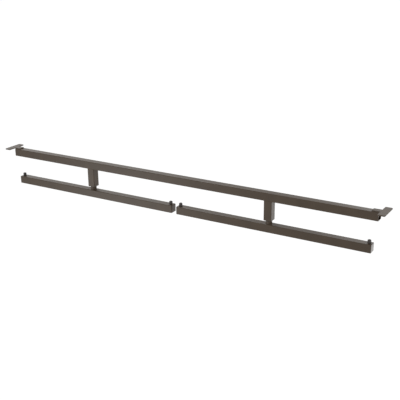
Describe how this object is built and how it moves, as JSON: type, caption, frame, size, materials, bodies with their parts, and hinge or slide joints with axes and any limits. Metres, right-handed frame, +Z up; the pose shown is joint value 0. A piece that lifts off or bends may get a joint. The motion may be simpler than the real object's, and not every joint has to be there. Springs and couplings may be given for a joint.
{
  "type": "swivel closet rod",
  "caption": "Square-tube closet beam with flat T end plates and posts that carry swivelling hanger rods with end pegs.",
  "frame": {"origin": "midway between the two mounting plates, on the plane of their top faces", "axes": "+X along the beam, +Z up towards the shelf, +Y away from the viewer"},
  "size_m": [1.074, 0.056, 0.1003],
  "materials": {
    "powder_coat": "satin dark bronze powder coat on steel",
    "bronze_plastic": "satin moulded plastic, dark bronze",
    "black_plastic": "matt moulded plastic, near black",
    "zinc_steel": "zinc-plated steel",
    "black_nylon": "black nylon"
  },
  "bodies": {
    "frame": {"top_beam": "powder_coat", "mounting_plate_left": "powder_coat", "mounting_plate_right": "powder_coat", "post_left": "powder_coat", "post_right": "powder_coat", "post_plug_left": "zinc_steel", "post_plug_right": "zinc_steel", "swivel_bolt_left": "zinc_steel", "swivel_bolt_right": "zinc_steel", "thrust_washer_left": "black_nylon", "thrust_washer_right": "black_nylon", "head_washer_left": "zinc_steel", "head_washer_right": "zinc_steel"},
    "left_rod": {"rod_left": "powder_coat", "hub_left": "powder_coat", "upper_bush_left": "black_nylon", "lower_bush_left": "black_nylon", "bolt_cover_left": "bronze_plastic", "rod_cap_left_outer": "bronze_plastic", "rod_cap_left_inner": "bronze_plastic", "peg_left_outer": "black_plastic", "peg_left_inner": "black_plastic"},
    "right_rod": {"rod_right": "powder_coat", "hub_right": "powder_coat", "upper_bush_right": "black_nylon", "lower_bush_right": "black_nylon", "bolt_cover_right": "bronze_plastic", "rod_cap_right_inner": "bronze_plastic", "rod_cap_right_outer": "bronze_plastic", "peg_right_inner": "black_plastic", "peg_right_outer": "black_plastic"}
  },
  "joints": [
    {"name": "left_swivel", "type": "hinge", "parent": "frame", "child": "left_rod", "pos_m": [-0.2565, 0, -0.0795], "axis": [0, 0, 1], "continuous": true},
    {"name": "right_swivel", "type": "hinge", "parent": "frame", "child": "right_rod", "pos_m": [0.2565, 0, -0.0795], "axis": [0, 0, 1], "continuous": true}
  ]
}
